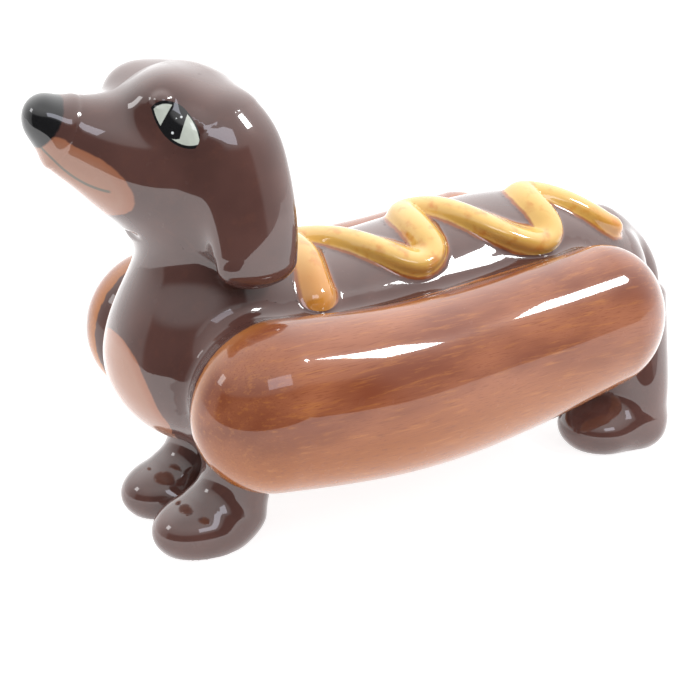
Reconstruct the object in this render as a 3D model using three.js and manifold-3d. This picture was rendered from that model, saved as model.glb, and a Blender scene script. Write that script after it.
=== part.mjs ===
// Glazed ceramic dachshund figurine whose long body is dressed as a sausage in a split bun.
// Units are millimetres.  The dog faces -Y, its left side is +X and +Z is up.  The origin is
// on the ground, below the middle of the figurine.
// Every luted piece is its own solid, and keeps a joint gap to the pieces it touches.

import * as THREE from 'three';
import { mergeVertices } from 'three/addons/utils/BufferGeometryUtils.js';
import Module from 'manifold-3d';

const wasm = await Module();
wasm.setup();

// ---------------------------------------------------------------- driving dimensions
const WALL = 3.5;            // wall of the hollow slip-cast pieces
const JOINT_GAP = 0.3;       // clearance of each luted joint
const VENT_RADIUS = 1.5;     // pierced firing vents
const TORSO_Z = 37.5;        // height of the torso's axis at its middle
const BEAD = { width: 3.1, height: 2.3, lift: 0.9 };   // half sizes of the mustard bead
const MUSTARD_STEPS = 60;
const BUN_X = 25;            // sideways place of each bun half's axis
const BUN_VENT = { x: 8, z: 33.5 };      // where each bun half's vent starts inside the torso
const FRONT_FEET = { left: [10.5, -50], right: [-7, -49] };   // the right foot is set nearer the middle
const HIND_FEET = { left: [17.5, 44.2], right: [-17.5, 44.2] };

// A station is [x, y, z, half width, half height] of an elliptical section.
const TORSO = [
  [0, -45, 35.5, 16.5, 18],
  [0, -25, 34.5, 17.5, 18],
  [0, -5, 34.8, 18, 18.5],
  [0, 18, TORSO_Z, 17.5, 18.5],
  [0, 37, 36.3, 17, 18.1],
  [0, 51, 32.2, 16, 16],
];
const TORSO_ENDS = [17.5, 14];
const NECK = [
  [0, -43, 36, 15, 15],
  [0, -42.5, 52, 12.8, 12.5],
  [0, -42.8, 63, 12.2, 12.7],
];
const NECK_ENDS = [8, 7];
const SKULL = { centre: [0, -45.7, 73.2], radii: [14.6, 14.4, 15] };
const FOREHEAD = { centre: [0, -48.2, 79.2], radii: [11.5, 9.8, 10.2] };
const MUZZLE = [
  [0, -44, 72.5, 13, 12],
  [0, -53, 73.2, 11, 11.2],
  [0, -61, 76.2, 8.4, 9.2],
  [0, -68.4, 79.9, 5.5, 6.8],
];
const MUZZLE_ENDS = [8, 3.4];
const NOSE = { centre: [0, -70.8, 81.9], radii: [4.5, 4.3, 4.9] };
const EYE = { centre: [11.6, -52.4, 81], radii: [4.2, 3.8, 1.9], outward: [0.82, -0.49, 0.29] };
const EAR = [
  [11.5, -43, 81, 5, 3],
  [14.3, -41.3, 75, 6.6, 3.4],
  [16.6, -40.8, 65, 7.8, 3.8],
  [17.2, -41, 56.5, 7.8, 3.4],
];
const EAR_ENDS = [3, 4.5];
const BUN = [
  [BUN_X, -41.5, 32, 12.5, 16],
  [BUN_X + 0.7, -17, 29.8, 13.2, 16.5],
  [BUN_X - 0.2, 8, 30.2, 12.5, 16.5],
  [BUN_X, 34, 34, 12.5, 15.3],
];
const BUN_ENDS = [16.5, 14];
// A leg's stations and paw are measured from its foot's place, for a left leg.
const FRONT_LEG = [
  [0, 6, 27, 8.5, 9],
  [0, 7, 15, 6.8, 7],
  [0, 4.5, 7, 7, 8],
];
const FRONT_PAW = [{ centre: [0, 0, 3.8], radii: [8.2, 11, 6.6] }];
const HIND_LEG = [
  [-4.5, 6.8, 30, 9, 12],
  [0.5, 7.3, 15, 8.4, 8.4],
  [2, 6.8, 7, 7.8, 8],
];
const HIND_PAW = [
  { centre: [0, 0, 4.3], radii: [9.4, 9.8, 6.6] },
  { centre: [2.5, 7.3, 4.4], radii: [8, 7, 6.4] },     // the heel
];
const LEG_ENDS = [6, 5];
const TAIL = [
  [0, 56, 45, 4.5, 3.6],
  [0, 64, 39.5, 4.4, 3.6],
  [0, 71, 30, 3.8, 3.4],
  [0, 72.6, 20, 2.8, 2.6],
];
const TAIL_ENDS = [4, 2.5];
// The mustard's route over the top of the torso, as [x, y] points.
const MUSTARD = [
  [13, -26.5],
  [10, -26.2],
  [4.2, -25],
  [-2, -24],
  [-4.5, -20.5],
  [0.2, -15.9],
  [5.9, -11.3],
  [10.6, -6.5],
  [12.3, -2.5],
  [10.7, 0.6],
  [6.5, 1.2],
  [0.4, 2],
  [-2.8, 4.4],
  [-1, 7.9],
  [5.4, 11.9],
  [11.2, 17.5],
  [13.6, 23.5],
  [13.6, 28],
  [11, 30.2],
  [6.8, 30],
  [2.2, 30.8],
  [2.2, 34.4],
  [6.2, 41.5],
  [9, 47],
  [9.6, 49.5],
];

// ---------------------------------------------------------------- materials
function glaze(color, roughness = 0.12) {
  return new THREE.MeshStandardMaterial({ color, roughness, metalness: 0 });
}
const BROWN_GLAZE = glaze(0x5a3a34);
const BLACK_GLAZE = glaze(0x161618);
const EYE_GLAZE = glaze(0xd8dcd0);
const BUN_GLAZE = glaze(0xa8643c);
const MUSTARD_GLAZE = glaze(0xe9b455);

// ---------------------------------------------------------------- shapes
function toSolid(geometry) {
  geometry.deleteAttribute('normal');
  geometry.deleteAttribute('uv');
  const merged = mergeVertices(geometry, 1e-5);
  return new wasm.Manifold(new wasm.Mesh({
    numProp: 3,
    vertProperties: new Float32Array(merged.attributes.position.array),
    triVerts: new Uint32Array(merged.index.array),
  }));
}

function toMesh(name, solid, material) {
  const { vertProperties, triVerts } = solid.getMesh();
  const geometry = new THREE.BufferGeometry();
  geometry.setAttribute('position', new THREE.BufferAttribute(vertProperties, 3));
  geometry.setIndex(new THREE.BufferAttribute(triVerts, 1));
  geometry.computeVertexNormals();
  const mesh = new THREE.Mesh(geometry, material);
  mesh.name = name;
  return mesh;
}

// A closed sweep of elliptical sections with rounded ends.  `grow` offsets the surface.
function sweep(stations, ends, { side = [1, 0, 0], grow = 0, ring = 16, steps = 8 } = {}) {
  const curve = new THREE.CatmullRomCurve3(
    stations.map(([x, y, z]) => new THREE.Vector3(x, y, z)), false, 'centripetal');
  const sideways = new THREE.Vector3(...side);
  const capRings = 3;
  const rings = [];
  const addRing = (t, along, scale) => {
    const place = t * (stations.length - 1);
    const i = Math.min(Math.floor(place), stations.length - 2);
    const f = place - i;
    const size = (k) => THREE.MathUtils.lerp(stations[i][k], stations[i + 1][k], f) + grow;
    const tangent = curve.getTangent(t);
    const right = sideways.clone().addScaledVector(tangent, -sideways.dot(tangent)).normalize();
    const up = new THREE.Vector3().crossVectors(right, tangent);
    const centre = curve.getPoint(t).addScaledVector(tangent, along);
    rings.push({ centre, right, up, width: size(3) * scale, height: size(4) * scale });
  };
  for (let i = 1; i <= capRings; i += 1) {
    const a = (Math.PI / 2) * (1 - i / (capRings + 1));
    addRing(0, -(ends[0] + grow) * Math.sin(a), Math.cos(a));
  }
  for (let i = 0; i <= steps; i += 1) addRing(i / steps, 0, 1);
  for (let i = 1; i <= capRings; i += 1) {
    const a = (Math.PI / 2) * (i / (capRings + 1));
    addRing(1, (ends[1] + grow) * Math.sin(a), Math.cos(a));
  }
  const points = [];
  for (const { centre, right, up, width, height } of rings) {
    for (let k = 0; k < ring; k += 1) {
      const a = (2 * Math.PI * k) / ring;
      points.push(centre.clone()
        .addScaledVector(right, width * Math.cos(a))
        .addScaledVector(up, height * Math.sin(a)));
    }
  }
  const first = points.length;
  const last = first + 1;
  points.push(curve.getPoint(0).addScaledVector(curve.getTangent(0), -(ends[0] + grow)));
  points.push(curve.getPoint(1).addScaledVector(curve.getTangent(1), ends[1] + grow));
  const faces = [];
  for (let k = 0; k < ring; k += 1) {
    const next = (k + 1) % ring;
    faces.push(first, k, next);
    for (let r = 0; r < rings.length - 1; r += 1) {
      const a = r * ring;
      const b = a + ring;
      faces.push(a + k, b + next, a + next);
      faces.push(a + k, b + k, b + next);
    }
    const end = (rings.length - 1) * ring;
    faces.push(last, end + next, end + k);
  }
  const geometry = new THREE.BufferGeometry().setFromPoints(points);
  geometry.setIndex(faces);
  return toSolid(geometry);
}

// A closed ellipsoid, its third radius along `outward`.
function ellipsoid(centre, radii, grow = 0, segments = 18, outward = [0, 0, 1]) {
  const geometry = new THREE.SphereGeometry(1, segments, segments / 2);
  geometry.rotateX(Math.PI / 2);
  geometry.scale(radii[0] + grow, radii[1] + grow, radii[2] + grow);
  geometry.applyQuaternion(new THREE.Quaternion().setFromUnitVectors(
    new THREE.Vector3(0, 0, 1), new THREE.Vector3(...outward).normalize()));
  geometry.translate(...centre);
  return toSolid(geometry);
}

function vent(from, to) {
  const start = new THREE.Vector3(...from);
  const end = new THREE.Vector3(...to);
  const geometry = new THREE.CylinderGeometry(VENT_RADIUS, VENT_RADIUS, start.distanceTo(end), 12);
  const turn = new THREE.Quaternion().setFromUnitVectors(
    new THREE.Vector3(0, 1, 0), end.clone().sub(start).normalize());
  geometry.applyQuaternion(turn);
  geometry.translate(...start.add(end).multiplyScalar(0.5));
  return toSolid(geometry);
}

const mirrored = (stations, sign) => stations.map(([x, ...rest]) => [sign * x, ...rest]);

// ---------------------------------------------------------------- pieces
const underGround = toSolid(new THREE.BoxGeometry(200, 300, 50).translate(0, 0, -25));

const torso = (grow, detail = {}) => sweep(TORSO, TORSO_ENDS, { grow, steps: 7, ring: 16, ...detail });
const neck = (grow, detail = {}) => sweep(NECK, NECK_ENDS, { grow, steps: 4, ring: 16, ...detail });
const bodyGrown = (grow) => torso(grow).add(neck(grow));

// The hollows of the bun halves breathe into the torso, and the head's into the neck.
const bunVent = (sign) => vent([sign * BUN_VENT.x, 0, BUN_VENT.z], [sign * BUN_X, 0, BUN_VENT.z]);
const neckVent = () => vent([0, NECK[2][1], NECK[1][2]], [0, NECK[2][1], SKULL.centre[2]]);
const bellyVent = () => vent([0, 0, 0], [0, 0, TORSO_Z]);

function bodyShell() {
  const rough = { ring: 10, steps: 4 };
  const cavity = torso(-WALL, rough).add(neck(-WALL, rough));
  return bodyGrown(0)
    .subtract(cavity)
    .subtract(bellyVent())
    .subtract(neckVent())
    .subtract(bunVent(1))
    .subtract(bunVent(-1));
}

const skull = (grow, segments) => ellipsoid(SKULL.centre, SKULL.radii, grow, segments);
const muzzle = (grow, detail) => sweep(MUZZLE, MUZZLE_ENDS, { grow, ...detail });
const forehead = (grow) => ellipsoid(FOREHEAD.centre, FOREHEAD.radii, grow);
const headGrown = (grow) => skull(grow).add(forehead(grow)).add(muzzle(grow, { steps: 5 }));
const nose = (grow) => ellipsoid(NOSE.centre, NOSE.radii, grow, 14);
function eye(sign, grow) {
  const side = ([x, y, z]) => [sign * x, y, z];
  return ellipsoid(side(EYE.centre), EYE.radii, grow, 12, side(EYE.outward));
}

function headShell() {
  const cavity = skull(-WALL, 10)
    .add(muzzle(-WALL, { ring: 10, steps: 2 }))
    .subtract(neck(WALL + JOINT_GAP));
  return headGrown(0)
    .subtract(bodyGrown(JOINT_GAP))
    .subtract(nose(JOINT_GAP))
    .subtract(eye(1, JOINT_GAP))
    .subtract(eye(-1, JOINT_GAP))
    .subtract(cavity)
    .subtract(neckVent());
}

const earGrown = (sign, grow) => sweep(mirrored(EAR, sign), EAR_ENDS,
  { side: [0, 1, 0], grow, steps: 5, ring: 14 });
const bunGrown = (sign, grow, detail = {}) => sweep(mirrored(BUN, sign), BUN_ENDS,
  { grow, steps: 6, ...detail });

function leg(stations, pads, [x, y], sign) {
  const placed = stations.map(([dx, dy, ...rest]) => [x + sign * dx, y + dy, ...rest]);
  let solid = sweep(placed, LEG_ENDS, { steps: 4, ring: 14 });
  for (const { centre: [dx, dy, z], radii } of pads) {
    solid = solid.add(ellipsoid([x + sign * dx, y + dy, z], radii, 0, 14));
  }
  return solid
    .subtract(underGround)
    .subtract(bodyGrown(JOINT_GAP))
    .subtract(bunGrown(sign, JOINT_GAP));
}

function bunHalf(sign) {
  const cavity = bunGrown(sign, -WALL, { ring: 10, steps: 4 }).subtract(bodyGrown(WALL + JOINT_GAP));
  return bunGrown(sign, 0)
    .subtract(bodyGrown(JOINT_GAP))
    .subtract(cavity)
    .subtract(bunVent(sign));
}

// Height of the torso's upper surface above the point (x, y).
function torsoTop(x, y) {
  const i = TORSO.findLastIndex((station) => station[1] <= y);
  const f = (y - TORSO[i][1]) / (TORSO[i + 1][1] - TORSO[i][1]);
  const at = (k) => THREE.MathUtils.lerp(TORSO[i][k], TORSO[i + 1][k], f);
  return at(2) + at(4) * Math.sqrt(1 - (x / at(3)) ** 2);
}

function mustardRibbon() {
  const route = new THREE.CatmullRomCurve3(MUSTARD.map(([x, y]) => new THREE.Vector3(x, y, 0)));
  const stations = route.getSpacedPoints(MUSTARD_STEPS)
    .map(({ x, y }) => [x, y, torsoTop(x, y) + BEAD.lift, BEAD.height, BEAD.width]);
  return sweep(stations, [BEAD.width, BEAD.width], { side: [0, 0, 1], steps: MUSTARD_STEPS, ring: 8 })
    .subtract(bodyGrown(JOINT_GAP));
}

function tail() {
  return sweep(TAIL, TAIL_ENDS, { steps: 6, ring: 10 })
    .subtract(bodyGrown(JOINT_GAP));
}

const figurine = new THREE.Group();
figurine.add(toMesh('body_shell', bodyShell(), BROWN_GLAZE));
figurine.add(toMesh('head_shell', headShell(), BROWN_GLAZE));
figurine.add(toMesh('nose', nose(0), BLACK_GLAZE));
figurine.add(toMesh('tail', tail(), BROWN_GLAZE));
figurine.add(toMesh('mustard_ribbon', mustardRibbon(), MUSTARD_GLAZE));
for (const [suffix, sign] of [['left', 1], ['right', -1]]) {
  figurine.add(toMesh(`ear_${suffix}`, earGrown(sign, 0).subtract(headGrown(JOINT_GAP)), BROWN_GLAZE));
  figurine.add(toMesh(`eye_${suffix}`, eye(sign, 0), EYE_GLAZE));
  const frontLeg = leg(FRONT_LEG, FRONT_PAW, FRONT_FEET[suffix], sign);
  const hindLeg = leg(HIND_LEG, HIND_PAW, HIND_FEET[suffix], sign);
  figurine.add(toMesh(`front_leg_${suffix}`, frontLeg, BROWN_GLAZE));
  figurine.add(toMesh(`hind_leg_${suffix}`, hindLeg, BROWN_GLAZE));
  figurine.add(toMesh(`bun_half_${suffix}`, bunHalf(sign), BUN_GLAZE));
}

export default figurine;
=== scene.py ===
"""A glazed pottery dachshund dressed as a hot dog, standing on a plain pale floor.

Every clay piece is described by a field: a function of a point, in millimetres, that is negative
inside the piece.  Smooth minimums of the fields give the soft joints that slip and glaze leave
between luted pieces.  Each piece is then meshed as a closed solid of its own, whose skin runs
tangentially into its neighbour's.
"""

import bpy
import numpy as np
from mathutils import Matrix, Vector


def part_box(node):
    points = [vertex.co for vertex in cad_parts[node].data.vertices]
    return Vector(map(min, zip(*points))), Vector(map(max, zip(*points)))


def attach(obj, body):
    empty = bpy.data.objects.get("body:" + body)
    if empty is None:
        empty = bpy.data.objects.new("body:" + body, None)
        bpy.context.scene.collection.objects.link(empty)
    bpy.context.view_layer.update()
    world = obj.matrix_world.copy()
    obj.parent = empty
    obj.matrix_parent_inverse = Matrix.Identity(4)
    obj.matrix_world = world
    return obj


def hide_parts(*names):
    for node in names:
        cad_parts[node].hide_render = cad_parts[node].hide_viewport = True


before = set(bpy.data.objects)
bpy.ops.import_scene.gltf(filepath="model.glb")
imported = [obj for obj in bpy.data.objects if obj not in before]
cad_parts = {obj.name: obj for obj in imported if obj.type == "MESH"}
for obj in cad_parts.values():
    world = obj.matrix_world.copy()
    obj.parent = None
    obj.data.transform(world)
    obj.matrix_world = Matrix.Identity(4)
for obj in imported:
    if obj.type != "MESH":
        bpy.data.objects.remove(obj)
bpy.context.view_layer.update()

MM = 0.001
DRAFT = 1.0      # coarser meshes while trying things
BOX_MARGIN = 18          # further than this from its box, a shape's field is only roughly right
GRADIENT_STEP = 0.04


# ------------------------------------------------------------------ fields
class Spline:
    """Natural cubic spline through rows of numbers, one row per unit of t."""

    def __init__(self, rows):
        self.rows = np.asarray(rows, float)
        count = len(self.rows)
        matrix = np.eye(count)
        target = np.zeros_like(self.rows)
        for i in range(1, count - 1):
            matrix[i, i - 1:i + 2] = (1, 4, 1)
            target[i] = 6 * (self.rows[i - 1] - 2 * self.rows[i] + self.rows[i + 1])
        self.bend = np.linalg.solve(matrix, target)
        self.last = count - 1

    def __call__(self, t, order=0):
        i = np.clip(t.astype(int), 0, self.last - 1)
        f = (t - i)[:, None]
        g = 1 - f
        a, b = self.rows[i], self.rows[i + 1]
        m, n = self.bend[i], self.bend[i + 1]
        if order == 0:
            return g * a + f * b + ((g**3 - g) * m + (f**3 - f) * n) / 6
        if order == 1:
            return b - a + ((1 - 3 * g * g) * m + (3 * f * f - 1) * n) / 6
        return g * m + f * n


def boxed(distance):
    """Only evaluates a field near its own box; further out it returns the distance to the box."""
    def near(self, points):
        outside = np.maximum(np.maximum(self.low - points, points - self.high), 0)
        far = np.sqrt((outside**2).sum(1))
        value = far + 0.0
        close = far < BOX_MARGIN
        if close.any():
            value[close] = distance(self, points[close])
        return value
    return near


def unit(rows):
    return rows / np.linalg.norm(rows, axis=-1, keepdims=True)


class Sweep:
    """An elliptical section along a spline, with rounded ends.

    A station is x, y, z, half width along `side`, half height.
    """

    def __init__(self, stations, ends, side=(1, 0, 0)):
        self.path = Spline(stations)
        self.ends = ends
        self.side = np.asarray(side, float)
        self.guesses = np.linspace(0, self.path.last, 8 * self.path.last + 1)
        self.marks = self.path(self.guesses)
        size = self.marks[:, 3:].max(1, keepdims=True)
        reach = np.maximum(size, max(ends))
        self.low = (self.marks[:, :3] - reach).min(0)
        self.high = (self.marks[:, :3] + reach).max(0)

    def nearest(self, points):
        centres = self.marks[:, :3]
        gap = (centres**2).sum(1) - 2 * points @ centres.T
        t = self.guesses[gap.argmin(1)]
        for _ in range(3):
            away = self.path(t)[:, :3] - points
            along = self.path(t, 1)[:, :3]
            bend = self.path(t, 2)[:, :3]
            speed = (along**2).sum(1)
            slope = np.maximum(speed + (away * bend).sum(1), 0.3 * speed)
            t = np.clip(t - (away * along).sum(1) / slope, 0, self.path.last)
        return t

    @boxed
    def __call__(self, points):
        t = self.nearest(points)
        here = self.path(t)
        tangent = unit(self.path(t, 1)[:, :3])
        right = unit(self.side - (tangent @ self.side)[:, None] * tangent)
        up = np.cross(right, tangent)
        away = points - here[:, :3]
        u = (away * right).sum(1) / here[:, 3]
        v = (away * up).sum(1) / here[:, 4]
        end = np.where(t * 2 < self.path.last, self.ends[0], self.ends[1])
        w = (away * tangent).sum(1) / end
        w = np.where((t <= 0) | (t >= self.path.last), w, 0)
        return ellipse_distance(u, v, w, here[:, 3], here[:, 4], end)


def ellipse_distance(u, v, w, a, b, c):
    """First-order distance to the ellipsoid of radii a, b, c; u, v, w are already divided by them."""
    k = np.sqrt(u * u + v * v + w * w)
    slope = np.sqrt((u / a)**2 + (v / b)**2 + (w / c)**2)
    inner = np.minimum(np.minimum(a, b), c)
    value = (k - 1) * k / np.maximum(slope, 1e-9)
    return np.where(k < 0.3, (k - 1) * inner, value)


class Ellipsoid:
    def __init__(self, centre, radii, axes=((1, 0, 0), (0, 1, 0), (0, 0, 1))):
        self.centre = np.asarray(centre, float)
        self.radii = np.asarray(radii, float)
        self.axes = unit(np.asarray(axes, float))
        self.low = self.centre - self.radii.max()
        self.high = self.centre + self.radii.max()

    @boxed
    def __call__(self, points):
        u, v, w = ((points - self.centre) @ self.axes.T / self.radii).T
        return ellipse_distance(u, v, w, *self.radii)


def blend(a, b, reach):
    """Smooth minimum: a fillet where a and b differ by less than `reach`."""
    overlap = np.maximum(reach - np.abs(a - b), 0) / reach
    return np.minimum(a, b) - overlap**2 * reach / 4


def on_side(field, side):
    """A field as it is on the left for side 1, or mirrored to the right for side -1."""
    return lambda points: field(points * (side, 1, 1))


def both(field):
    """A field of the left side, and its mirror image."""
    return lambda points: np.minimum(field(points), on_side(field, RIGHT)(points))


def gradient(field, points):
    rows = [field(points + d) - field(points - d) for d in np.eye(3) * GRADIENT_STEP]
    return np.stack(rows, 1) / (2 * GRADIENT_STEP)


# ------------------------------------------------------------------ the dog's shape, in millimetres
LEFT, RIGHT = 1, -1
TORSO = Sweep([
    (0, -45, 35.5, 16.5, 18),
    (0, -25, 34.5, 17.5, 18),
    (0, -5, 34.8, 18, 18.5),
    (0, 18, 37.3, 17.5, 18.5),
    (0, 37, 36.3, 17, 18.1),
    (0, 51, 32.2, 16, 16),
], (17.5, 14))
NECK = Sweep([
    (0, -43, 36, 15, 15),
    (0, -42.5, 52, 12.8, 12.5),
    (0, -42.8, 63, 12.2, 12.7),
    (0, -42, 74, 11, 11),
], (8, 6))
SKULL = Ellipsoid((0, -45.7, 73.2), (14.6, 14.4, 15.0))
MUZZLE = Sweep([
    (0, -44, 72.5, 13, 12),
    (0, -53, 73.2, 11.0, 11.2),
    (0, -61, 76.2, 8.4, 9.2),
    (0, -68.4, 79.9, 5.5, 6.8),
], (8, 3.4))
FOREHEAD = Ellipsoid((0, -48.2, 79.2), (11.5, 9.8, 10.2))
BROW = Ellipsoid((6.4, -52.2, 84.6), (4.8, 4.9, 4.2))
NOSE = Ellipsoid((0, -70.8, 81.9), (4.5, 4.3, 4.9), ((1, 0, 0), (0, 1, 0.35), (0, -0.35, 1)))
EYE_CENTRE = np.array((12.58, -52.98, 81.3))       # of the painted almond, on the skin
EYE_OUT = unit(np.array((0.823, -0.486, 0.292)))
EYE_ALONG = unit(np.cross((0.111, 0.643, 0.757), EYE_OUT))
EYE_OVER = np.cross(EYE_OUT, EYE_ALONG)
EYE_SET = 1.2            # how far the dome's centre lies under the painted almond
EYE = Ellipsoid(EYE_CENTRE - EYE_SET * EYE_OUT, (5.4, 3.4, 1.75), (EYE_ALONG, EYE_OVER, EYE_OUT))
BROW_SPOT = Ellipsoid((10.2, -54.4, 85.3), (1.7, 1.7, 1.5))
THROAT_PIT = Ellipsoid((0, -58.9, 60.4), (5.0, 1.7, 0.8))
EAR = Sweep([
    (11.5, -43, 81, 5, 3),
    (14.3, -41.3, 75, 6.6, 3.4),
    (16.6, -40.8, 65, 7.8, 3.8),
    (17.2, -41.0, 56.5, 7.8, 3.4),
], (3, 4.5), side=(0, 1, 0))
BUN_X = 25
BUN = Sweep([
    (BUN_X, -41.5, 32, 12.5, 16),
    (BUN_X + 0.7, -17, 29.8, 13.2, 16.5),
    (BUN_X - 0.2, 8, 30.2, 12.5, 16.5),
    (BUN_X, 34, 34, 12.5, 15.3),
], (16.5, 14.0))
FRONT_LEG = Sweep([
    (0, 6.0, 27, 8.5, 9),
    (0, 7.0, 15, 6.8, 7.0),
    (0, 4.5, 7, 7.0, 8),
], (6, 5))
FRONT_PAW = Ellipsoid((0, 0, 3.8), (8.2, 11, 6.6))
FRONT_PLACE = {LEFT: (10.5, -50), RIGHT: (-7, -49)}      # paw centres
HIND_LEG = Sweep([
    (13, 51, 30, 9, 12),
    (18, 51.5, 15, 8.4, 8.4),
    (19.5, 51, 7, 7.8, 8),
], (6, 5))
HEEL = Ellipsoid((20, 51.5, 4.4), (8, 7, 6.4))
HIND_PAW = Ellipsoid((17.5, 44.2, 4.3), (9.4, 9.8, 6.6))
TAIL = Sweep([
    (0, 56, 45, 4.5, 3.6),
    (0, 64, 39.5, 4.4, 3.6),
    (0, 71, 30, 3.8, 3.4),
    (0, 72.6, 20, 2.8, 2.6),
], (4, 2.5))
MUSTARD_ROUTE = [
    (13, -26.5), (10, -26.2), (4.2, -25), (-2, -24), (-4.5, -20.5), (0.2, -15.9), (5.9, -11.3),
    (10.6, -6.5), (12.3, -2.5), (10.7, 0.6), (6.5, 1.2), (0.4, 2.0), (-2.8, 4.4), (-1, 7.9),
    (5.4, 11.9), (11.2, 17.5), (13.6, 23.5), (13.6, 28), (11, 30.2), (6.8, 30), (2.2, 30.8),
    (2.2, 34.4), (6.2, 41.5), (9, 47), (9.6, 49.5),
]
BEAD = {"width": 3.2, "height": 2.2, "lift": 0.4}

# How far the soft joint between two shapes reaches.
REACH = {"body": 10, "muzzle": 9, "forehead": 4, "brow": 5, "brow_spot": 0.8, "nose": 2.5,
         "eye": 1.2, "bun": 5, "front_paw": 2.5, "heel": 2, "hind_paw": 3.5, "leg": 3.5, "tail": 3,
         "mustard": 2.2, "throat_pit": 0.9}
THROAT = {"y": -56, "depth": 12, "reach": 6, "nape_more": 2}
EAR_TIP = {"z": 59, "length": 6, "reach": 6.5, "tip_less": 5}
SUNK = 1.0        # how far a piece reaches under the skin of the piece it is luted to
FEATHER = 0.1     # how far before its end a fillet stops


def body(points):
    return blend(TORSO(points), NECK(points), REACH["body"])


def torso_top(x, y):
    """Height of the torso's upper skin above (x, y), by bisection."""
    low = np.full(len(x), 35.0)
    high = np.full(len(x), 62.0)
    for _ in range(30):
        middle = (low + high) / 2
        inside = TORSO(np.stack((x, y, middle), 1)) < 0
        low = np.where(inside, middle, low)
        high = np.where(inside, high, middle)
    return low


def mustard_sweep():
    route = Spline(MUSTARD_ROUTE)
    x, y = route(np.linspace(0, route.last, 3 * route.last + 1)).T
    z = torso_top(x, y) + BEAD["lift"]
    sizes = np.tile((BEAD["height"], BEAD["width"]), (len(x), 1))
    return Sweep(np.column_stack((x, y, z, sizes)), (BEAD["width"],) * 2, side=(0, 0, 1))


MUSTARD = mustard_sweep()


def head(points):
    shape = blend(SKULL(points), MUZZLE(points), REACH["muzzle"])
    shape = blend(shape, FOREHEAD(points), REACH["forehead"])
    shape = blend(shape, both(BROW)(points), REACH["brow"])
    return blend(shape, both(BROW_SPOT)(points), REACH["brow_spot"])


def head_reach(points):
    """The jaw turns into the throat more tightly than the nape flows into the neck."""
    nape = np.clip((points[:, 1] - THROAT["y"]) / THROAT["depth"], 0, 1)
    return THROAT["reach"] + THROAT["nape_more"] * nape


def body_head(points):
    return blend(body(points), head(points), head_reach(points))


def ear_reach(points):
    """The ear's root and front edge are smoothed into the head; its tip hangs free."""
    tip = np.clip((EAR_TIP["z"] - points[:, 2]) / EAR_TIP["length"], 0, 1)
    return EAR_TIP["reach"] - EAR_TIP["tip_less"] * tip


def dressed(points):
    """Body, head and both bun halves."""
    return blend(body_head(points), both(BUN)(points), REACH["bun"])


def front_leg(points):
    return blend(FRONT_LEG(points), FRONT_PAW(points), REACH["front_paw"])


def hind_leg(points):
    shank = blend(HIND_LEG(points), HEEL(points), REACH["heel"])
    return blend(shank, HIND_PAW(points), REACH["hind_paw"])


def placed(field, side):
    """A front leg, moved to where that paw stands."""
    shift = (*FRONT_PLACE[side], 0)
    return lambda points: field(points - shift)


def even(name):
    """The same reach all round a joint."""
    return lambda points: REACH[name]


# A piece is its field, what it is luted onto, and the reach of the fillet between them.
JOINTS = {
    "head_shell": (head, body, head_reach),
    "nose": (NOSE, head, even("nose")),
    "tail": (TAIL, body, even("tail")),
    "mustard_ribbon": (MUSTARD, body, even("mustard")),
}
for suffix, side in (("left", LEFT), ("right", RIGHT)):
    JOINTS["eye_" + suffix] = (on_side(EYE, side), head, even("eye"))
    JOINTS["ear_" + suffix] = (on_side(EAR, side), body_head, ear_reach)
    JOINTS["bun_half_" + suffix] = (on_side(BUN, side), body_head, even("bun"))
    JOINTS["front_leg_" + suffix] = (placed(front_leg, side), dressed, even("leg"))
    JOINTS["hind_leg_" + suffix] = (on_side(hind_leg, side), dressed, even("leg"))

# The order that the pieces are stuck on in, after the body.
ORDER = ["head_shell", "nose", "eye_left", "eye_right", "bun_half_left", "bun_half_right",
         "ear_left", "ear_right", "front_leg_left", "front_leg_right", "hind_leg_left",
         "hind_leg_right", "tail", "mustard_ribbon"]


def skin(points):
    """The whole figurine's outer skin."""
    value = body(points)
    for name in ORDER:
        piece, _, reach = JOINTS[name]
        value = blend(value, piece(points), reach(points))
    return ground_cut(value, points)


def ground_cut(value, points):
    """Flat soles, and the small pit that is left where the jaw meets the throat."""
    value = -blend(-value, THROAT_PIT(points), REACH["throat_pit"])
    return np.maximum(value, -points[:, 2])


def luted(name):
    """The closed solid of one piece: itself and its fillet, down to just under the base's skin."""
    piece, base, reach = JOINTS[name]

    def field(points):
        own, under, width = piece(points), base(points), reach(points)
        value = blend(own, under, width)
        value = np.maximum(value, -(under + SUNK))
        value = np.maximum(value, own - under - (width - FEATHER))
        return ground_cut(value, points)
    return field


# ------------------------------------------------------------------ meshing
def grid_values(field, low, counts, cell):
    """The field on a grid, evaluated only near its surface; elsewhere only the sign is right."""
    stride = 4
    band = 1.6 * stride * cell
    coarse = [np.arange(0, n + stride, stride) for n in counts]
    points = np.stack(np.meshgrid(*coarse, indexing="ij"), -1).reshape(-1, 3)
    rough = field(low + cell * points).reshape([len(c) for c in coarse])
    blocks = [np.minimum((np.arange(n) + stride // 2) // stride, len(c) - 1)
              for n, c in zip(counts, coarse)]
    values = rough[np.ix_(*blocks)]
    near = np.abs(values) < band
    where = np.argwhere(near)
    values[near] = evaluate(field, low + cell * where)
    return values


def evaluate(field, points, chunk=60000):
    parts = [field(points[i:i + chunk]) for i in range(0, len(points), chunk)]
    return np.concatenate(parts) if parts else np.zeros(0)


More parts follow.
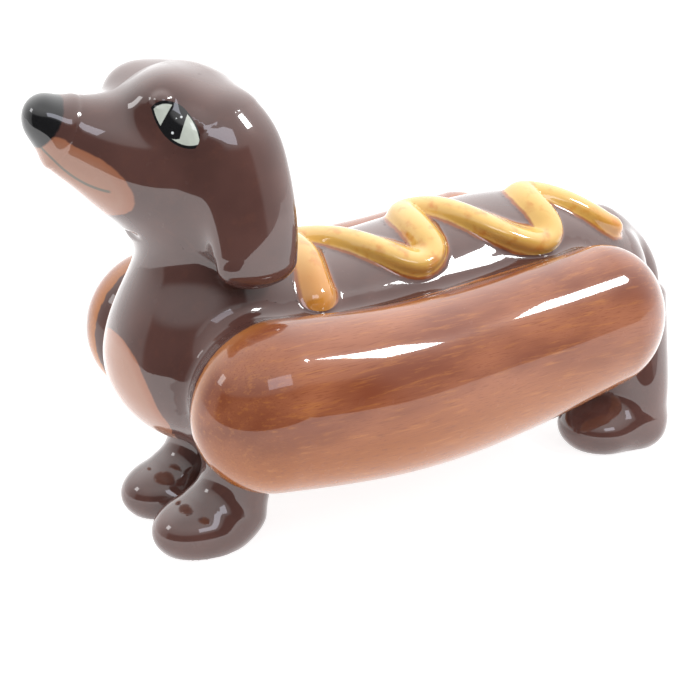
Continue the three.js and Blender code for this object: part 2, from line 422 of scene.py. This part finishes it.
def surface_net(field, low, high, cell):
    """Quads of the field's zero surface: one vertex in each grid cell that the surface crosses."""
    low = np.asarray(low, float)
    counts = np.ceil((np.asarray(high) - low) / cell).astype(int) + 1
    values = grid_values(field, low, counts, cell)
    inside = values < 0
    inside[[0, -1]] = inside[:, [0, -1]] = inside[:, :, [0, -1]] = False
    cells = [n - 1 for n in counts]
    corners = np.array([(i, j, k) for i in (0, 1) for j in (0, 1) for k in (0, 1)])
    total = np.zeros(cells, int)
    for i, j, k in corners:
        total += inside[i:i + cells[0], j:j + cells[1], k:k + cells[2]]
    active = (total > 0) & (total < 8)
    where = np.argwhere(active)
    ids = np.full(cells, -1)
    ids[active] = np.arange(len(where))
    sums = np.zeros((len(where), 3))
    crossings = np.zeros(len(where))
    for start in corners:
        for axis in range(3):
            if start[axis]:
                continue
            end = start.copy()
            end[axis] = 1
            a = values[tuple((where + start).T)]
            b = values[tuple((where + end).T)]
            cut = (a < 0) != (b < 0)
            point = (where[cut] + start).astype(float)
            point[:, axis] += a[cut] / (a[cut] - b[cut])
            sums[cut] += point
            crossings[cut] += 1
    vertices = low + cell * sums / crossings[:, None]
    quads = []
    for axis in range(3):
        first = [slice(None)] * 3
        second = [slice(None)] * 3
        first[axis] = slice(0, counts[axis] - 1)
        second[axis] = slice(1, counts[axis])
        a = inside[tuple(first)]
        edges = np.argwhere(a != inside[tuple(second)])
        leaving = a[tuple(edges.T)]
        u, v = [n for n in range(3) if n != axis]
        around = [edges.copy() for _ in range(4)]
        around[1][:, u] -= 1
        around[2][:, u] -= 1
        around[2][:, v] -= 1
        around[3][:, v] -= 1
        quad = np.stack([ids[tuple(e.T)] for e in around], 1)
        flip = leaving if axis == 1 else ~leaving
        quad[flip] = quad[flip][:, ::-1]
        quads.append(quad)
    return vertices, np.vstack(quads)


def settle(field, points):
    """Two short Newton steps that bring points onto the field's zero surface."""
    longest = 0.5
    for _ in range(2):
        slope = gradient(field, points)
        steepness = np.maximum((slope**2).sum(1), 0.05)
        step = (field(points) / steepness)[:, None] * slope
        length = np.linalg.norm(step, axis=1, keepdims=True)
        points = points - step * np.minimum(1, longest / np.maximum(length, 1e-9))
    return points


# ------------------------------------------------------------------ build
# Mesh cell, and how far beyond its CAD box a piece is looked for.
CELL = {"body_shell": 0.8, "bun_half": 0.8, "head_shell": 0.5, "ear": 0.55, "front_leg": 0.5,
        "hind_leg": 0.55, "tail": 0.45, "nose": 0.3, "eye": 0.3, "mustard_ribbon": 0.4}
MARGIN = {"head_shell": 14, "mustard_ribbon": 3, "nose": 2.5, "eye": 2.5}
OTHER_MARGIN = 8
ON_SKIN = 0.35           # within this of the figurine's skin, a point takes the skin's normal


def kind_of(name):
    return name.removesuffix("_left").removesuffix("_right")


def polygon_distance(x, y, outline):
    """Signed distance from (x, y) to a closed outline, negative inside."""
    ring = np.asarray(outline, float)
    nearest = np.full(len(x), 1e9)
    inside = np.zeros(len(x), bool)
    for (ax, ay), (bx, by) in zip(ring, np.roll(ring, -1, 0)):
        dx, dy = bx - ax, by - ay
        f = np.clip(((x - ax) * dx + (y - ay) * dy) / (dx * dx + dy * dy), 0, 1)
        nearest = np.minimum(nearest, np.hypot(x - ax - f * dx, y - ay - f * dy))
        crosses = (ay > y) != (by > y)
        across = ax + (y - ay) * dx / (dy if dy else 1e-9)
        inside ^= crosses & (x < across)
    return np.where(inside, -nearest, nearest)


def rounded(outline):
    """Two rounds of Chaikin corner cutting."""
    ring = np.asarray(outline, float)
    for _ in range(2):
        ahead = np.roll(ring, -1, 0)
        ring = np.stack((0.75 * ring + 0.25 * ahead, 0.25 * ring + 0.75 * ahead), 1).reshape(-1, 2)
    return ring


# Painted patches: the muzzle's in the (y, z) plane, the chest's in the (x, z) plane.
MUZZLE_PATCH = rounded([
    (-78, 80.3), (-70.4, 80.3), (-69, 78.7), (-66.8, 77.5), (-64.2, 75.8), (-62.4, 73.9),
    (-61.2, 72), (-60.4, 70.2), (-59.8, 68), (-60.2, 66.4), (-62.4, 65), (-66, 60), (-78, 60),
])
CHEST_PATCH = rounded([
    (0, 42.6), (3.9, 42), (8, 39.2), (10.3, 34.4), (10.3, 28), (8.4, 22), (5.6, 14),
    (-5.6, 14), (-8.4, 22), (-10.3, 28), (-10.3, 34.4), (-8, 39.2), (-3.9, 42),
])
CHEST_BACK_Y = -40       # behind this there is no chest patch
FAR_OFF = 20             # a distance that no painted edge reaches
# The bun's painted rim: how far above the torso, and how far out along the sides and at the ends.
RIM = {"above": 1.2, "x": 17.8, "more_at_ends": 4.4, "middle_y": -4, "straight": 28, "turn": 14}


def paint_fields(name, points):
    """Distances, in millimetres, that the glaze colours follow."""
    x, y, z = points.T
    kind = kind_of(name)
    fields = {}
    if kind in ("head_shell", "nose"):
        fields["muzzle"] = polygon_distance(y, z, MUZZLE_PATCH)
        fields["nose"] = NOSE(points)
    if kind == "body_shell":
        behind = np.where(y < CHEST_BACK_Y, 0, FAR_OFF)
        fields["chest"] = polygon_distance(x, z, CHEST_PATCH) + behind
    if kind == "bun_half":
        ends = np.clip((np.abs(y - RIM["middle_y"]) - RIM["straight"]) / RIM["turn"], 0, 1)
        out = np.abs(x) - RIM["x"] - RIM["more_at_ends"] * ends
        fields["rim"] = np.minimum(body_head(points) - RIM["above"], out)
    if kind == "mustard_ribbon":
        fields["foot"] = body(points)
        fields["along"] = MUSTARD.nearest(points) / MUSTARD.path.last
    return fields


def make_piece(name, field, low, high):
    kind = kind_of(name)
    cell = CELL[kind] * DRAFT
    points, quads = surface_net(field, low, high, cell)
    points = settle(field, points)
    inner = gradient(field, points)
    outer = gradient(skin, points)
    on_skin = np.abs(evaluate(skin, points)) < ON_SKIN
    normals = np.where(on_skin[:, None], outer, inner)
    normals /= np.maximum(np.linalg.norm(normals, axis=1, keepdims=True), 1e-9)
    mesh = bpy.data.meshes.new(name + "_glazed")
    mesh.from_pydata((points * MM).tolist(), [], quads.tolist())
    mesh.polygons.foreach_set("use_smooth", np.ones(len(quads), bool))
    for key, values in paint_fields(name, points).items():
        layer = mesh.attributes.new(key, "FLOAT", "POINT")
        layer.data.foreach_set("value", values.astype(np.float32))
    mesh.update()
    mesh.normals_split_custom_set_from_vertices(normals.tolist())
    piece = bpy.data.objects.new(name + "_glazed", mesh)
    bpy.context.scene.collection.objects.link(piece)
    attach(piece, "root")
    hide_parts(name)
    return piece


def make_pieces():
    made = {}
    for name in ["body_shell"] + ORDER:
        low, high = (np.array(corner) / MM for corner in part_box(name))
        margin = MARGIN.get(kind_of(name), OTHER_MARGIN)
        field = body if name == "body_shell" else luted(name)
        made[name] = make_piece(name, field, low - margin, high + margin)
        print(name, len(made[name].data.polygons), "faces")
    return made


# ------------------------------------------------------------------ glazes
class Graph:
    """A small helper for writing node trees as expressions."""

    def __init__(self, tree):
        self.tree = tree
        tree.nodes.clear()

    def node(self, kind, inputs=(), **settings):
        made = self.tree.nodes.new("ShaderNode" + kind)
        for key, value in settings.items():
            setattr(made, key, value)
        for key, value in dict(inputs).items():
            self.feed(made.inputs[key], value)
        return made

    def feed(self, socket, value):
        if isinstance(value, bpy.types.NodeSocket):
            self.tree.links.new(value, socket)
        else:
            socket.default_value = value

    def math(self, operation, *values, clamp=False):
        made = self.node("Math", operation=operation, use_clamp=clamp)
        for socket, value in zip(made.inputs, values):
            self.feed(socket, value)
        return made.outputs[0]

    def vector(self, operation, *values, out=0):
        made = self.node("VectorMath", operation=operation)
        for socket, value in zip(made.inputs, values):
            self.feed(socket, value)
        return made.outputs[out]

    def scaled(self, vector, factor):
        made = self.node("VectorMath", {"Scale": factor, 0: vector}, operation="SCALE")
        return made.outputs[0]

    def mix(self, amount, a, b):
        made = self.node("Mix", {0: amount, 6: a, 7: b}, data_type="RGBA")
        return made.outputs[2]

    def blend_values(self, amount, a, b):
        return self.node("Mix", {0: amount, 2: a, 3: b}, data_type="FLOAT").outputs[0]

    def veil(self, amount, strength, a, b):
        """A mix that goes at most `strength` of the way from a to b."""
        return self.mix(self.math("MULTIPLY", amount, strength), a, b)

    def smooth(self, value, low, high):
        """0 below low and 1 above high, or the other way round when high < low."""
        flip = high < low
        ends = (high, low) if flip else (low, high)
        targets = (1.0, 0.0) if flip else (0.0, 1.0)
        made = self.node("MapRange", {0: value, 1: ends[0], 2: ends[1], 3: targets[0],
                                      4: targets[1]}, interpolation_type="SMOOTHSTEP")
        return made.outputs[0]

    def noise(self, vector, scale, detail=3.0, rough=0.5):
        made = self.node("TexNoise", {"Vector": vector, "Scale": scale, "Detail": detail,
                                      "Roughness": rough})
        return made.outputs[0]

    def attribute(self, name):
        return self.node("Attribute", attribute_name=name).outputs["Fac"]

    def stretch(self, vector, factors):
        return self.vector("MULTIPLY", vector, factors)


def colour(red, green, blue):
    """A linear colour from 0-255 display values."""
    rows = [v / 255 for v in (red, green, blue)]
    linear = [v / 12.92 if v <= 0.04045 else ((v + 0.055) / 1.055)**2.4 for v in rows]
    return (*linear, 1.0)


BROWN = colour(94, 63, 57)
BROWN_DEEP = colour(82, 54, 49)
BROWN_WARM = colour(112, 70, 56)
TAN = colour(170, 124, 102)
TAN_DEEP = colour(162, 106, 80)
CRUST = {"mid": colour(158, 96, 66), "dark": colour(122, 64, 42), "gold": colour(188, 120, 60),
         "pale": colour(162, 92, 34)}
YELLOW = colour(222, 178, 92)
ORANGE = colour(204, 132, 50)
BLACK = colour(20, 20, 22)
EYE_WHITE = colour(214, 220, 208)
EYE_GREY = colour(190, 196, 186)
GLINT = colour(235, 240, 240)
MOUTH_GREEN = colour(92, 96, 84)
FRINGE = colour(150, 84, 40)
RIPPLE = 0.03            # height of the coat's unevenness
COAT_IOR = {"brown": 1.7, "bun": 1.5}


def new_material(name):
    material = bpy.data.materials.new(name)
    material.use_nodes = True
    graph = Graph(material.node_tree)
    place = graph.node("TexCoord").outputs["Object"]
    return material, graph, graph.scaled(place, 1 / MM)


def finish_glaze(graph, paint, mm, coat_ior=COAT_IOR["brown"]):
    """A clear, bright coat over slip and underglaze colour."""
    ripple = graph.noise(mm, 0.12, 1.0)
    bump = graph.node("Bump", {"Strength": 1.0, "Distance": RIPPLE * MM, "Height": ripple})
    rough = graph.node("MapRange", {0: graph.noise(mm, 0.35), 1: 0.3, 2: 0.7, 3: 0.16, 4: 0.28})
    shader = graph.node("BsdfPrincipled", {
        "Base Color": paint, "Roughness": rough.outputs[0], "IOR": 1.5,
        "Specular IOR Level": 0.08,
        "Coat Weight": 1.0, "Coat Roughness": 0.025, "Coat IOR": coat_ior,
        "Normal": bump.outputs[0], "Coat Normal": bump.outputs[0],
    })
    output = graph.node("OutputMaterial")
    graph.tree.links.new(shader.outputs[0], output.inputs[0])


def brown_paint(graph, mm):
    """Brushed brown slip: broad pooled tone, and finer strokes that run down and along."""
    broad = graph.noise(mm, 0.09, 2.0)
    strokes = graph.noise(graph.stretch(mm, (0.9, 0.25, 0.5)), 0.9, 4.0, 0.6)
    tone = graph.mix(graph.smooth(broad, 0.3, 0.7), BROWN_DEEP, BROWN)
    return graph.veil(graph.smooth(strokes, 0.5, 0.9), 0.35, tone, BROWN_WARM)


def edge_of(graph, name, mm, wobble=0.5):
    """A painted edge: the distance `name`, made slightly uneven as a brush leaves it."""
    uneven = graph.math("SUBTRACT", graph.noise(mm, 0.5, 3.0), 0.5)
    return graph.math("ADD", graph.attribute(name), graph.math("MULTIPLY", uneven, wobble))


def plain_brown():
    material, graph, mm = new_material("brown_glaze")
    finish_glaze(graph, brown_paint(graph, mm), mm)
    return material


def patch_paint(graph, mm, name, base):
    edge = edge_of(graph, name, mm)
    inner = graph.mix(graph.smooth(edge, -2.2, 0.0), TAN, TAN_DEEP)
    mottled = graph.veil(graph.noise(mm, 0.4, 3.0), 0.35, inner, TAN_DEEP)
    return graph.mix(graph.smooth(edge, 0.2, -0.2), base, mottled)


def body_glaze():
    material, graph, mm = new_material("body_glaze")
    paint = patch_paint(graph, mm, "chest", brown_paint(graph, mm))
    finish_glaze(graph, paint, mm)
    return material


# Measures of the painted eye; `u` runs along it, `v` over it, and a glint is u, v and radius.
EYE_SPOT = {"half_length": 4.7, "upper": 2.75, "lower": 2.15, "skew": 0.3, "outline": 0.45,
            "depth": 4.0}
IRIS = {"u": -0.62, "lean": 0.24, "half": 1.75, "narrowing": 0.12, "disc": (-0.6, 0.5, 2.9)}
GLINTS = ((-0.3, 1.7, 0.2), (0.1, -1.3, 0.22), (-0.8, 1.0, 0.1))
SOFT = 0.07              # how soft the eye's painted edges are


def eye_paint(graph, mm, base):
    """The same eye on both sides: an almond outlined in black, a broad iris and two glints."""
    split = graph.node("SeparateXYZ", {0: mm}).outputs
    mirrored = graph.node("CombineXYZ", {0: graph.math("ABSOLUTE", split[0]), 1: split[1],
                                         2: split[2]}).outputs[0]
    offset = graph.vector("SUBTRACT", mirrored, tuple(EYE_CENTRE))
    u, v, near = (graph.vector("DOT_PRODUCT", offset, tuple(axis), out=1)
                  for axis in (EYE_ALONG, EYE_OVER, EYE_OUT))
    leaning = graph.math("ADD", u, graph.math("MULTIPLY", v, EYE_SPOT["skew"]))
    length = EYE_SPOT["half_length"]

    def disc(centre_u, centre_v, size, across=u):
        du = graph.math("SUBTRACT", across, centre_u)
        dv = graph.math("SUBTRACT", v, centre_v)
        square = graph.math("ADD", graph.math("MULTIPLY", du, du), graph.math("MULTIPLY", dv, dv))
        return graph.math("SUBTRACT", graph.math("SQRT", square), size)

    def lid(height, side):
        drop = (length**2 - height**2) / (2 * height)
        return disc(0.0, -side * drop, drop + height, leaning)

    almond = graph.math("MAXIMUM", lid(EYE_SPOT["upper"], 1), lid(EYE_SPOT["lower"], -1))
    almond = graph.math("MAXIMUM", almond, graph.math("SUBTRACT", -EYE_SPOT["depth"], near))
    lean = graph.math("MULTIPLY", v, IRIS["lean"])
    middle = graph.math("ADD", u, graph.math("SUBTRACT", lean, IRIS["u"]))
    half = graph.math("SUBTRACT", IRIS["half"], graph.math("MULTIPLY", v, IRIS["narrowing"]))
    iris = graph.math("SUBTRACT", graph.math("ABSOLUTE", middle), half)
    iris = graph.math("MAXIMUM", iris, disc(*IRIS["disc"]))
    outline = graph.smooth(almond, EYE_SPOT["outline"] + SOFT, EYE_SPOT["outline"] - SOFT)
    white = graph.mix(graph.noise(mm, 0.8), EYE_WHITE, EYE_GREY)
    inside = graph.mix(graph.smooth(iris, SOFT, -SOFT), white, BLACK)
    for glint in GLINTS:
        inside = graph.mix(graph.smooth(disc(*glint), SOFT, -SOFT), inside, GLINT)
    return graph.mix(graph.smooth(almond, SOFT, -SOFT), graph.mix(outline, base, BLACK), inside)


# The mouth line is a parabola in the (y, z) plane that starts at the corner of the mouth.
MOUTH = {"y": -63.4, "z": 70.3, "slope": -0.19, "curve": 0.064, "half_width": (0.38, 0.12)}


def mouth_paint(graph, mm, base):
    """A fine grey-green mouth line that rises towards the nose."""
    split = graph.node("SeparateXYZ", {0: mm}).outputs
    run = graph.math("SUBTRACT", split[1], MOUTH["y"])
    square = graph.math("MULTIPLY", run, run)
    rise = graph.math("ADD", graph.math("MULTIPLY", run, MOUTH["slope"]),
                      graph.math("MULTIPLY", square, MOUTH["curve"]))
    height = graph.math("SUBTRACT", split[2], MOUTH["z"])
    gap = graph.math("ABSOLUTE", graph.math("SUBTRACT", height, rise))
    across = graph.smooth(gap, *MOUTH["half_width"])
    line = graph.math("MULTIPLY", across, graph.smooth(run, 0.3, -0.3))
    return graph.veil(line, 0.85, base, MOUTH_GREEN)


def head_glaze():
    material, graph, mm = new_material("head_glaze")
    paint = patch_paint(graph, mm, "muzzle", brown_paint(graph, mm))
    paint = mouth_paint(graph, mm, paint)
    paint = eye_paint(graph, mm, paint)
    paint = graph.mix(graph.smooth(edge_of(graph, "nose", mm, 0.2), 0.5, 0.3), paint, BLACK)
    finish_glaze(graph, paint, mm)
    return material


def eye_glaze():
    material, graph, mm = new_material("eye_glaze")
    finish_glaze(graph, eye_paint(graph, mm, brown_paint(graph, mm)), mm)
    return material


def bun_glaze():
    """Toasted orange brown, brushed lengthwise, golden at the rim and brown inside it."""
    material, graph, mm = new_material("bun_glaze")
    broad = graph.noise(graph.stretch(mm, (1, 0.35, 1)), 0.12, 2.0)
    strokes = graph.noise(graph.stretch(mm, (1.1, 0.09, 1.1)), 1.2, 5.0, 0.65)
    hairs = graph.noise(graph.stretch(mm, (2.4, 0.12, 2.4)), 2.2, 3.0, 0.6)
    tone = graph.mix(graph.smooth(broad, 0.3, 0.7), CRUST["dark"], CRUST["mid"])
    height = graph.node("SeparateXYZ", {0: mm}).outputs[2]
    # Lower down, the crust turns a deeper orange: partly below z = 36 mm, wholly below 20 mm.
    tone = graph.mix(graph.smooth(height, 36, 20), tone, CRUST["pale"])
    tone = graph.veil(graph.smooth(strokes, 0.5, 0.75), 0.5, tone, CRUST["gold"])
    tone = graph.veil(graph.smooth(hairs, 0.5, 0.7), 0.6, tone, CRUST["dark"])
    edge = edge_of(graph, "rim", mm, 1.0)
    tone = graph.veil(graph.smooth(edge, 5.0, 0.5), 0.6, tone, CRUST["gold"])
    paint = graph.mix(graph.smooth(edge, 0.25, -0.25), tone, brown_paint(graph, mm))
    finish_glaze(graph, paint, mm, COAT_IOR["bun"])
    return material


def mustard_glaze():
    material, graph, mm = new_material("mustard_glaze")
    tone = graph.mix(graph.smooth(graph.noise(mm, 0.35, 3.0), 0.5, 0.8), YELLOW, ORANGE)
    along = graph.attribute("along")
    ends = graph.math("MAXIMUM", graph.smooth(along, 0.1, 0.02), graph.smooth(along, 0.9, 1.0))
    tone = graph.veil(ends, 0.8, tone, ORANGE)
    foot = edge_of(graph, "foot", mm, 0.3)
    fringe = graph.mix(graph.smooth(foot, 0.6, 0.25), tone, FRINGE)
    paint = graph.mix(graph.smooth(foot, 0.22, 0.05), fringe, BROWN)
    finish_glaze(graph, paint, mm)
    return material


def paint_pieces(made):
    plain = plain_brown()
    face = head_glaze()
    glazes = {"head_shell": face, "nose": face, "body_shell": body_glaze(),
              "bun_half": bun_glaze(), "mustard_ribbon": mustard_glaze(), "eye": eye_glaze()}
    for name, piece in made.items():
        piece.data.materials.append(glazes.get(kind_of(name), plain))


# ------------------------------------------------------------------ studio
def facing(azimuth, elevation):
    """Unit vector from the object towards azimuth (0 is -Y, 90 is +X) and elevation, in degrees."""
    a, e = np.radians((azimuth, elevation))
    return Vector((np.sin(a) * np.cos(e), -np.cos(a) * np.cos(e), np.sin(e)))


CAMERA = {"azimuth": 58, "elevation": 22, "lens": 65.3, "sensor": 36,
          "place": (0.2063, -0.1400, 0.1261)}
FLOOR = {"front": 0.175, "size": 2.5, "drop": 0.0002, "grey": 0.5, "glow": 0.85}
LIGHTS_AIM = Vector((0, 0, 0.04))
# Light sources: azimuth from the camera's and elevation in degrees, distance, size, watts, tint.
LIGHTS = {
    "key_softbox": (76, 43, 0.7, (0.12, 0.11), 1.6, (1, 1, 1)),
    "left_softbox": (-72, 30, 0.7, (0.14, 0.12), 0.25, (1, 1, 1)),
    "front_window": (24, 34, 0.9, (0.4, 0.2), 0.8, (0.85, 0.87, 1.0)),
}
# The tent's dark opening, in radians from the camera's direction, and the tent's brightness.
OPENING = {"half_width": (1.0, 1.12), "top": (0.34, 0.44), "level": 0.08}
TENT = {"level": 0.55, "back": 1.0, "roof": 0.7, "backdrop": 1.05}


def make_camera():
    data = bpy.data.cameras.new("camera")
    data.lens = CAMERA["lens"]
    data.sensor_width = CAMERA["sensor"]
    data.clip_start = 0.01
    data.clip_end = 20
    camera = bpy.data.objects.new("camera", data)
    camera.location = CAMERA["place"]
    camera.rotation_mode = "QUATERNION"
    outward = facing(CAMERA["azimuth"], CAMERA["elevation"])
    camera.rotation_quaternion = (-outward).to_track_quat("-Z", "Y")
    bpy.context.scene.collection.objects.link(camera)
    bpy.context.scene.camera = camera


def make_floor():
    """A pale sheet that ends a little way in front of the figurine, towards the camera."""
    front, size = FLOOR["front"], FLOOR["size"]
    mesh = bpy.data.meshes.new("floor")
    mesh.from_pydata([(-size, -front, 0), (size, -front, 0), (size, size, 0), (-size, size, 0)],
                     [], [(0, 1, 2, 3)])
    floor = bpy.data.objects.new("floor", mesh)
    floor.location.z = -FLOOR["drop"]
    floor.rotation_euler.z = np.radians(CAMERA["azimuth"])
    bpy.context.scene.collection.objects.link(floor)
    material = bpy.data.materials.new("pale_floor")
    material.use_nodes = True
    graph = Graph(material.node_tree)
    shader = graph.node("BsdfPrincipled", {
        "Base Color": (*[FLOOR["grey"]] * 3, 1), "Roughness": 0.9,
        "Emission Color": (1, 1, 1, 1), "Emission Strength": FLOOR["glow"]})
    output = graph.node("OutputMaterial")
    graph.tree.links.new(shader.outputs[0], output.inputs[0])
    mesh.materials.append(material)


def make_light(name, azimuth, elevation, distance, size, power, tint):
    """A rectangular softbox that faces the figurine."""
    data = bpy.data.lights.new(name, "AREA")
    data.shape = "RECTANGLE"
    data.size, data.size_y = size
    data.energy = power
    data.color = tint
    light = bpy.data.objects.new(name, data)
    outward = facing(CAMERA["azimuth"] + azimuth, elevation)
    light.location = LIGHTS_AIM + outward * distance
    light.rotation_mode = "QUATERNION"
    light.rotation_quaternion = outward.to_track_quat("Z", "Y")
    bpy.context.scene.collection.objects.link(light)


def make_world():
    """A white light tent with a dark opening towards the camera."""
    world = bpy.data.worlds.new("studio")
    bpy.context.scene.world = world
    world.use_nodes = True
    graph = Graph(world.node_tree)
    direction = graph.vector("NORMALIZE", graph.node("TexCoord").outputs["Generated"])
    toward = facing(CAMERA["azimuth"], 0)
    across = facing(CAMERA["azimuth"] + 90, 0)
    split = graph.node("SeparateXYZ", {0: direction}).outputs
    ahead = graph.vector("DOT_PRODUCT", direction, tuple(toward), out=1)
    side = graph.vector("DOT_PRODUCT", direction, tuple(across), out=1)
    azimuth = graph.math("ARCTAN2", side, ahead)
    elevation = graph.math("ARCSINE", split[2])
    wide = graph.smooth(graph.math("ABSOLUTE", azimuth), *OPENING["half_width"])
    high = graph.smooth(elevation, *OPENING["top"])
    open_side = graph.math("MAXIMUM", wide, high)
    back = graph.smooth(ahead, 0.5, -0.6)
    roof = graph.smooth(elevation, 0.2, 0.9)
    tent = graph.math("ADD", TENT["level"], graph.math("MULTIPLY", back, TENT["back"]))
    tent = graph.math("ADD", tent, graph.math("MULTIPLY", roof, TENT["roof"]))
    level = graph.blend_values(open_side, OPENING["level"], tent)
    seen = graph.node("LightPath").outputs["Is Camera Ray"]
    strength = graph.blend_values(seen, level, TENT["backdrop"])
    shader = graph.node("Background", {0: (1, 1, 1, 1), 1: strength})
    output = graph.node("OutputWorld")
    graph.tree.links.new(shader.outputs[0], output.inputs[0])


def make_studio():
    bpy.context.scene.view_settings.view_transform = "Standard"
    make_camera()
    make_floor()
    make_world()
    for name, settings in LIGHTS.items():
        make_light(name, *settings)


made = make_pieces()
paint_pieces(made)
make_studio()
